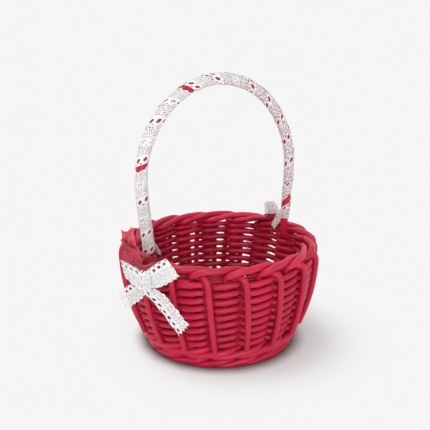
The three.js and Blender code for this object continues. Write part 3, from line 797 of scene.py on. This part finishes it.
wound = []
turn_count = len(SEAMS) - 2
for k in range(turn_count * LACE_PARTS + 1):
    turns = k / LACE_PARTS
    low = seam_at(turns)
    high = min(seam_at(turns + 1) + lap_at(turns), lace_end)
    turn = math.tau * turns
    line = []
    for j in range(LACE_ACROSS + 1):
        distance = low + (high - low) * j / LACE_ACROSS
        middle, forward = handle_spot(distance)
        normal = Vector((0, 1, 0)).cross(forward)
        radius = handle_radius(distance) + LACE_LIFT + LACE_LAP_LIFT * (1 - j / LACE_ACROSS)
        line.append(middle + normal * radius * math.cos(turn) + Vector((0, radius * math.sin(turn), 0)))
    wound.append(line)

# Both ends run on towards the bows inside the rim: the near one level, the far one falling
END_ROWS = 8
NEAR_END_RUN = Vector((-0.0026, -0.021, 0.0005))
NEAR_END_SPREAD = 1.15
NEAR_END_GATHER = 0.80
FAR_END_RUN = Vector((-0.0017, 0.0125, -0.0185))
FAR_END_WIDTH = 0.0105
FAR_END_TWIST = 2.2
FAR_END_GATHER = 0.3

near_end = []
root = wound[0]
root_middle = root[LACE_ACROSS // 2]
for k in range(END_ROWS):
    away = 1 - k / END_ROWS
    middle = root_middle + NEAR_END_RUN * away
    spread = NEAR_END_SPREAD - NEAR_END_GATHER * away
    near_end.append([middle + (point - root_middle) * spread for point in root])
far_end = []
root_middle = wound[-1][LACE_ACROSS // 2]
for k in range(1, END_ROWS + 1):
    away = k / END_ROWS
    lean = min(1.0, FAR_END_TWIST * away)
    middle = root_middle + FAR_END_RUN * away
    across = Vector((0, -math.sin(lean), -math.cos(lean))) * FAR_END_WIDTH * (1 - FAR_END_GATHER * away)
    far_end.append([middle + across * (j / LACE_ACROSS - 0.5) for j in range(LACE_ACROSS + 1)])
wound = near_end + wound + far_end
winding, winding_length = lace_on("lace_winding_cloth", wound)
# Towards the far end the lace is one layer thick, and more red comes through its net
THIN_START = -0.015
THIN_REACH = 0.06
thin = winding.data.attributes.new("thin", "FLOAT", "POINT")
for vertex in winding.data.vertices:
    thin.data[vertex.index].value = min(max((vertex.co.x - THIN_START) / THIN_REACH, 0), 1)
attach(winding, "root")
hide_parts("lace_winding")


# Ribbons: an eighteen millimetre strip of red taffeta at each end of the handle, with pinked edges.
# Each comes from inside the rim, goes over the border and is tied in a small bow with one tail.
# The near tail stands up, and the far one hangs down.

RIBBON_WIDTH = 0.018
RIBBON_ACROSS = 14
RIBBON_PARTS = 14
RIBBON_PLEAT = 0.0026
RIBBON_DROP = 0.005
RIBBON_ASIDE = -0.006
PINKING = 0.0025
PINKING_DEPTH = 0.0007
NOTCH_ROWS = 10
NOTCH_DEPTH = 0.8
BOW_ANGLE = math.radians(25.3)

red_taffeta, sheet = finish_of("red_taffeta")
cloth = sheet.add("ShaderNodeAttribute", {"attribute_name": "flat"}, out="Vector")
weft = sheet.add("ShaderNodeTexWave", {"wave_type": "BANDS", "bands_direction": "X"}, {
    "Vector": cloth, "Scale": 900.0, "Distortion": 0.6, "Detail": 1.0,
})
creases = sheet.add("ShaderNodeTexNoise", sockets={
    "Vector": cloth, "Scale": 150.0, "Detail": 3.0, "Distortion": 0.8,
})
wash = sheet.add("ShaderNodeTexNoise", sockets={"Vector": cloth, "Scale": 320.0, "Detail": 2.0})
# The colour follows the crumples, darker in their hollows and lighter on their ridges: painted shade and
# light on the folds, with a random wash over it.
crease_light_and_shade = sheet.add("ShaderNodeMapRange", sockets={
    "Value": creases * 0.6 + wash * 0.4, "From Min": 0.34, "From Max": 0.68,
})
crimson = crease_light_and_shade.mixed((0.56, 0.046, 0.088, 1), (0.98, 0.165, 0.250, 1))
# The puffs and the strap are painted darker, as shade, and given a rougher finish.
shade_and_matt = sheet.add("ShaderNodeAttribute", {"attribute_name": "shade_and_matt"}, out="Fac")
crimson = shade_and_matt.mixed(crimson, (0.19, 0.004, 0.016, 1))
rumple = sheet.add("ShaderNodeBump", sockets={
    "Strength": 0.8, "Distance": 0.0011, "Height": creases + weft * 0.07,
})
surface = sheet.add("ShaderNodeBsdfPrincipled", sockets={
    "Base Color": crimson,
    "Roughness": 0.34 + wash * 0.2 + shade_and_matt * 0.45,
    "Specular IOR Level": 0.2,
    "Normal": rumple,
})
sheet.add("ShaderNodeOutputMaterial", sockets={"Surface": surface})

# The bows stand off the flats of the solid stakes, which have five sides
STAKE_SIDES = 5
leg_radius = wall_radius(weave_top) + leg_offset + STAKE_RADIUS * math.cos(math.pi / STAKE_SIDES)


def bow_place(side, stand_off, drop, aside):
    """A bow's own directions: aside, out from the wall and up, from the middle of its knot."""
    angle = BOW_ANGLE + (math.pi if side < 0 else 0)
    outward = around(1, angle, 0)
    rightward = around(1, angle + math.pi / 2, 0)
    middle = outward * stand_off + rightward * aside + Vector((0, 0, border_top - drop))
    return lambda a, o, u: middle + rightward * a + outward * o + Vector((0, 0, u))


# The pleats lie along the strip, are deepest where it is gathered and move over as it goes
PLEATS_ACROSS = 2.7
PLEAT_DRIFT = 260
LEAST_PLEAT = 0.2


def strip_rows(place, stations, width, parts, across, pleat):
    """Rows of a strip through stations: aside, out and up in millimetres, share of the width, tilt, turn."""
    line = smooth_line([Vector(station[:3]) / 1000 for station in stations], parts)
    shape = smooth_line([Vector(station[3:]) for station in stations], parts)
    rows = []
    for spot, (share, tilt, turn) in zip(line, shape):
        row = []
        for j in range(across + 1):
            v = j / across - 0.5
            reach = width * share * v
            wave = math.cos(PLEATS_ACROSS * math.tau * v + PLEAT_DRIFT * (spot.x - spot.z))
            fold = pleat * max(LEAST_PLEAT, 1 - share) * wave
            row.append(place(
                spot.x + reach * math.cos(tilt) * math.cos(turn),
                spot.y + reach * math.sin(turn) + fold,
                spot.z + reach * math.sin(tilt) * math.cos(turn),
            ))
        rows.append(row)
    return rows


# The first stations are the tail, and the last ones the strap that goes over the rim.
# The puffs between them have painted shade, darker than the tail, and a rougher finish, and the strap has
# the darkest painted shade and the roughest finish.
TAIL_STATIONS = 3
STRAP_STATIONS = 5
PUFF_SHADE_AND_MATT = 0.45
STRAP_SHADE_AND_MATT = 0.55


def ribbon(name, side, stations):
    place = bow_place(side, leg_radius + CLEARANCE, RIBBON_DROP, RIBBON_ASIDE)
    rows = strip_rows(place, stations, RIBBON_WIDTH, RIBBON_PARTS, RIBBON_ACROSS, RIBBON_PLEAT)
    reach = row_lengths(rows)
    for row, distance in zip(rows, reach):
        tooth = PINKING_DEPTH * abs((distance / PINKING) % 1 * 2 - 1)
        row[0] = row[0].lerp(row[1], tooth * RIBBON_ACROSS / RIBBON_WIDTH)
        row[-1] = row[-1].lerp(row[-2], tooth * RIBBON_ACROSS / RIBBON_WIDTH)
    # The free end is cut to a notch: its rows are drawn back towards the middle of the cloth
    half = RIBBON_ACROSS // 2
    for k in range(NOTCH_ROWS):
        for j in range(RIBBON_ACROSS + 1):
            back = NOTCH_DEPTH * (1 - abs(j - half) / half) * (1 - k / NOTCH_ROWS)
            rows[k][j] = rows[k][j].lerp(rows[NOTCH_ROWS][j], back)
    piece = strip_mesh(name, rows)
    piece.data.attributes.new("flat", "FLOAT_VECTOR", "POINT")
    piece.data.attributes.new("shade_and_matt", "FLOAT", "POINT")
    spots = piece.data.attributes["flat"]
    shade_and_matt = piece.data.attributes["shade_and_matt"]
    strap = len(rows) - 1 - RIBBON_PARTS * STRAP_STATIONS
    for index in range(len(piece.data.vertices)):
        k, j = divmod(index, RIBBON_ACROSS + 1)
        spots.data[index].vector = (reach[k], RIBBON_WIDTH * j / RIBBON_ACROSS, 0)
        # Painted shade and a rougher finish: none on the tail, part on the puffs, all on the strap
        puffed = min(max(k / RIBBON_PARTS - TAIL_STATIONS, 0), 1)
        strapped = min(max((k - strap) / RIBBON_PARTS, 0), 1)
        shade_and_matt.data[index].value = PUFF_SHADE_AND_MATT * puffed + STRAP_SHADE_AND_MATT * strapped
    piece.data.shade_smooth()
    piece.data.materials.append(red_taffeta)
    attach(piece, "root")
    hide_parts(name.replace("_cloth", ""))


NEAR_RIBBON = [
    (-22.4, 2.6, 35.0, 0.86, 0.42, 0.0),
    (-22.0, 1.4, 27.0, 0.92, 0.36, 0.0),
    (-21.0, 0.8, 20.0, 0.92, 0.20, 0.0),
    (-13.0, 0.6, 12.0, 0.62, 0.80, 0.0),
    (-6.0, 1.6, 6.0, 0.42, 1.30, 0.0),
    (-13.0, 0.2, 14.0, 0.50, 1.35, 0.2),
    (-24.0, -0.2, 18.5, 0.56, 1.50, 0.2),
    (-29.0, 2.0, 18.5, 0.56, 1.50, 0.2),
    (-22.0, 4.8, 17.5, 0.58, 1.50, 0.2),
    (-11.0, 4.6, 12.0, 0.50, 1.45, 0.0),
    (-4.0, 3.0, 4.0, 0.42, 1.50, 0.0),
    (-13.0, 0.8, 7.0, 0.56, 1.50, -0.2),
    (-24.0, 0.4, 8.5, 0.62, 1.55, -0.2),
    (-28.5, 2.2, 8.5, 0.62, 1.55, -0.2),
    (-21.0, 4.8, 8.0, 0.62, 1.55, -0.2),
    (-9.0, 4.6, 4.0, 0.52, 1.50, 0.0),
    (0.0, 3.6, 0.5, 0.42, 1.70, 0.0),
    (7.0, 1.2, 2.5, 0.60, 1.85, 0.0),
    (14.0, 0.8, 4.2, 0.70, 1.90, 0.0),
    (16.5, 2.4, 5.0, 0.72, 1.90, 0.0),
    (13.0, 4.2, 4.0, 0.70, 1.90, 0.0),
    (5.0, 4.0, 1.5, 0.50, 1.85, 0.0),
    (0.0, 3.0, 0.0, 0.42, 2.60, 0.0),
    (0.0, 1.0, 3.0, 0.70, 3.10, 0.0),
    (0.0, -3.0, 6.4, 0.85, 3.14, 0.0),
    (0.0, -10.0, 6.8, 0.90, 3.14, 0.0),
    (0.0, -16.0, 3.5, 0.95, 3.14, 0.0),
    (0.0, -16.5, -4.5, 1.00, 3.14, 0.0),
]
FAR_RIBBON = [
    (-13.0, 1.5, -24.0, 0.95, 0.10, 0.0),
    (-11.0, 1.0, -13.0, 0.95, 0.15, 0.0),
    (-3.0, 1.8, -1.5, 0.50, 0.80, 0.0),
    (7.0, 0.6, -2.0, 0.72, 1.40, 0.0),
    (15.0, 0.4, -4.0, 0.82, 1.50, 0.0),
    (18.0, 2.4, -4.5, 0.82, 1.50, 0.0),
    (13.0, 4.4, -3.5, 0.80, 1.50, 0.0),
    (4.0, 4.0, -1.0, 0.60, 1.50, 0.0),
    (-2.0, 3.2, 1.0, 0.50, 1.70, 0.0),
    (-6.0, 0.0, 5.5, 0.65, 1.90, -0.3),
    (-14.0, -8.0, 8.0, 0.70, 2.20, -0.6),
    (-21.0, -13.0, 7.5, 0.70, 2.40, -0.6),
    (-14.0, -10.0, 10.0, 0.70, 2.40, -0.5),
    (-5.0, -3.0, 8.0, 0.50, 2.80, -0.2),
    (0.0, -5.0, 7.0, 0.70, 3.14, 0.0),
    (2.0, -11.0, 6.5, 0.80, 3.14, -0.2),
    (6.0, -16.5, 4.0, 0.75, 2.90, -0.5),
    (12.0, -19.5, 0.0, 0.65, 2.50, -0.8),
    (19.0, -21.0, -5.0, 0.60, 2.30, -0.9),
]
ribbon("ribbon_near_cloth", -1, NEAR_RIBBON)
ribbon("ribbon_far_cloth", 1, FAR_RIBBON)


# Lace bows: a length of the same lace tied over each ribbon, with two flat loops and two tails.
# The lace is gathered where it passes under its own knot.

LACE_BOW_DEPTH = 0.0027
LACE_BOW_DROP = 0.015
LACE_BOW_PARTS = 6
LACE_BOW_PLEAT = 0.0022
LACE_KNOT_PARTS = 3
LACE_KNOT_PLEAT = 0.0008
PINKED_BACK = 0.75

NEAR_BOW = [
    (-39.5, -2.5, -31.0, 1.04, -0.82, 0.0),
    (-28.0, -0.5, -22.0, 1.04, -0.86, 0.0),
    (-15.0, 1.2, -12.0, 1.02, -0.95, 0.0),
    (-4.0, 2.2, -3.0, 0.70, -1.00, 0.0),
    (9.0, 1.2, 4.5, 0.95, -0.85, 0.0),
    (21.8, 0.8, 12.9, 0.96, -0.78, 0.0),
    (28.6, 2.8, 20.3, 1.14, -0.755, 0.0),
    (20.0, 5.0, 15.0, 1.14, -0.76, 0.0),
    (7.0, 5.6, 5.4, 1.10, -0.80, 0.0),
    (-3.0, 4.6, 0.5, 0.70, -1.20, 0.0),
    (-13.0, 1.4, 0.8, 1.20, -1.40, 0.0),
    (-26.0, -0.6, 3.6, 1.08, -1.30, 0.0),
    (-34.8, 0.0, 5.2, 0.92, -1.28, 0.0),
    (-26.0, 2.8, 3.8, 1.08, -1.30, 0.0),
    (-11.0, 4.6, 0.8, 1.20, -1.45, 0.0),
    (-1.0, 4.4, -1.5, 0.50, -1.00, 0.0),
    (1.0, 3.8, -5.0, 0.80, 0.10, 0.0),
    (4.5, 3.0, -9.5, 1.02, 0.50, 0.0),
    (13.4, 2.0, -14.9, 1.00, 0.72, 0.0),
    (25.0, 1.4, -25.1, 1.02, 0.82, 0.0),
    (39.5, 1.8, -37.2, 1.06, 0.82, 0.0),
]
FAR_BOW = [
    (-38.0, 0.0, -30.0, 0.95, -0.80, 0.0),
    (-27.0, 0.4, -20.6, 0.96, -0.84, 0.0),
    (-14.0, 1.2, -11.0, 0.95, -0.95, 0.0),
    (-3.0, 2.2, -2.0, 0.60, -0.90, 0.0),
    (2.0, 1.4, 8.0, 0.85, -0.30, 0.0),
    (5.0, 1.0, 19.0, 0.95, -0.25, 0.0),
    (7.8, 2.8, 28.0, 0.62, -0.25, 0.0),
    (5.0, 5.0, 19.0, 0.95, -0.25, 0.0),
    (1.0, 5.0, 8.0, 0.85, -0.30, 0.0),
    (-1.5, 4.4, 0.0, 0.55, -0.90, 0.0),
    (-10.0, 2.4, 0.0, 0.90, -1.50, 0.0),
    (-21.0, 1.6, -1.5, 0.92, -1.60, 0.0),
    (-28.0, 2.8, -2.0, 0.90, -1.60, 0.0),
    (-21.0, 4.6, -1.5, 0.92, -1.60, 0.0),
    (-9.0, 4.8, 0.0, 0.85, -1.50, 0.0),
    (-1.0, 4.4, -2.0, 0.50, -0.90, 0.0),
    (3.0, 3.6, -6.0, 0.85, 0.30, 0.0),
    (13.0, 2.0, -15.0, 1.00, 0.72, 0.0),
    (25.0, 1.4, -25.0, 1.02, 0.80, 0.0),
    (38.0, 1.8, -37.0, 1.04, 0.80, 0.0),
]
KNOT_PARTS = 12
KNOT_ASIDE = -1.0
KNOT_SHARE = 0.80
KNOT = []
for k in range(KNOT_PARTS + 1):
    turn = math.tau * k / KNOT_PARTS
    knot_out = 3.6 + 3.4 * math.cos(turn)
    knot_up = 1.5 + 8.6 * math.sin(turn)
    KNOT.append((KNOT_ASIDE, knot_out, knot_up, KNOT_SHARE, 0.0, 0.0))


def lace_bow(name, side, stations):
    place = bow_place(side, leg_radius + CLEARANCE + LACE_BOW_DEPTH + CLEARANCE, LACE_BOW_DROP, 0.0)
    rows = strip_rows(place, stations, LACE_WIDTH, LACE_BOW_PARTS, LACE_ACROSS, LACE_BOW_PLEAT)
    # The last tail was cut with pinking shears, so every other point of its end is drawn back
    for j in range(1, LACE_ACROSS, 2):
        rows[-1][j] = rows[-1][j].lerp(rows[-2][j], PINKED_BACK)
    limbs, limb_length = lace_on(name, rows)
    knot_rows = strip_rows(place, KNOT, LACE_WIDTH, LACE_KNOT_PARTS, LACE_ACROSS, LACE_KNOT_PLEAT)
    knot, knot_length = lace_on(name + "_knot", knot_rows)
    with bpy.context.temp_override(active_object=limbs, selected_editable_objects=[limbs, knot]):
        bpy.ops.object.join()
    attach(limbs, "root")
    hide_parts(name.replace("_cloth", ""))


lace_bow("lace_bow_near_cloth", -1, NEAR_BOW)
lace_bow("lace_bow_far_cloth", 1, FAR_BOW)
bpy.data.objects.remove(lace_repeat)


# Floor, light and camera: a matt white table under a soft white sky, with no edge to be seen.
# Round the basket the table takes its shadow, with a contact shadow painted into its colour near the foot,
# and further off it turns into the plain backdrop.

BACKDROP = (0.915, 0.915, 0.915, 1)
SHADOW_MIDDLE = (0.026, -0.014, 0)


def seen_directly(sheet):
    """One for the rays that show the backdrop itself, and nothing for those that carry light."""
    rays = sheet.add("ShaderNodeLightPath").socket.node.outputs
    camera_ray, glossy_ray, clear_ray = [
        Wire(sheet.tree, rays[f"Is {kind} Ray"]) for kind in ("Camera", "Glossy", "Transmission")
    ]
    return camera_ray + glossy_ray + clear_ray


floor_paint, sheet = finish_of("white_table")
# Painted contact shadow: where little open air reaches the table, close to the foot, its colour goes dark
# pink and it shows no backdrop glow. Its faint blue-green tint elsewhere takes out the red light that the
# basket throws on it.
open_air = sheet.add("ShaderNodeAmbientOcclusion", {"samples": 8}, {"Distance": 0.016}, out="AO")
under = sheet.add("ShaderNodeMapRange", sockets={"Value": open_air, "From Min": 0.35, "From Max": 0.95})
matt = sheet.add("ShaderNodeBsdfDiffuse", sockets={
    "Color": under.mixed((0.22, 0.18, 0.18, 1), (0.87, 0.91, 0.91, 1)),
})
glow = sheet.add("ShaderNodeEmission", sockets={"Color": BACKDROP, "Strength": 1.0})
away = sheet.add("ShaderNodeVectorMath", {"operation": "DISTANCE"}, {
    0: sheet.add("ShaderNodeTexCoord", out="Object"), 1: SHADOW_MIDDLE,
}, out="Value")
plain = sheet.add("ShaderNodeMapRange", {"interpolation_type": "SMOOTHSTEP"}, {
    "Value": away, "From Min": 0.04, "From Max": 0.17, "To Min": 0.14, "To Max": 1.0,
})
both = sheet.add("ShaderNodeMixShader", sockets={
    0: seen_directly(sheet) * plain * under, 1: matt, 2: glow,
})
sheet.add("ShaderNodeOutputMaterial", sockets={"Surface": both})
corners = [(-6, -6, 0), (6, -6, 0), (6, 6, 0), (-6, 6, 0)]
table = bpy.data.meshes.new("table")
table.from_pydata(corners, [], [(0, 1, 2, 3)])
table.materials.append(floor_paint)
table_top = bpy.data.objects.new("table", table)
bpy.context.scene.collection.objects.link(table_top)

world = bpy.data.worlds.new("studio")
world.use_nodes = True
world.node_tree.nodes.clear()
sky = Wire(world.node_tree)
air = sky.add("ShaderNodeBackground", sockets={"Color": (1, 1, 1, 1), "Strength": 0.64})
backdrop = sky.add("ShaderNodeBackground", sockets={"Color": BACKDROP, "Strength": 1.0})
sky.add("ShaderNodeOutputWorld", sockets={
    "Surface": sky.add("ShaderNodeMixShader", sockets={0: seen_directly(sky), 1: air, 2: backdrop}),
})
bpy.context.scene.world = world


def lamp(name, kind, energy, direction, location=(0, 0, 0)):
    light = bpy.data.lights.new(name, kind)
    light.energy = energy
    holder = bpy.data.objects.new(name, light)
    holder.location = location
    holder.rotation_euler = Vector(direction).to_track_quat("-Z", "Y").to_euler()
    bpy.context.scene.collection.objects.link(holder)
    return light


# A wide soft light high on the left and a little behind, so that the shadow falls to the right,
# and a lamp low in front, which lights the wall and leaves the inside darker
window = lamp("window_light", "SUN", 1.15, (0.24, -0.26, -0.93))
window.angle = math.radians(35)
front = lamp("front_light", "AREA", 5.5, (0.50, 1.10, -0.28), (-0.50, -1.10, 0.38))
front.shape = "DISK"
front.size = 0.9

LOOK_AT = Vector((-0.0036, 0.00195, 0.1292))
DISTANCE = 0.690
AZIMUTH = math.radians(-28.4)
ELEVATION = math.radians(16.1)
lens = bpy.data.cameras.new("camera")
lens.lens = 57.9
lens.sensor_width = 36
lens.clip_start = 0.01
camera = bpy.data.objects.new("camera", lens)
level = DISTANCE * math.cos(ELEVATION)
camera.location = LOOK_AT + Vector((
    level * math.sin(AZIMUTH), -level * math.cos(AZIMUTH), DISTANCE * math.sin(ELEVATION),
))
camera.rotation_euler = (LOOK_AT - camera.location).to_track_quat("-Z", "Y").to_euler()
bpy.context.scene.collection.objects.link(camera)
bpy.context.scene.camera = camera
bpy.context.scene.view_settings.view_transform = "Standard"
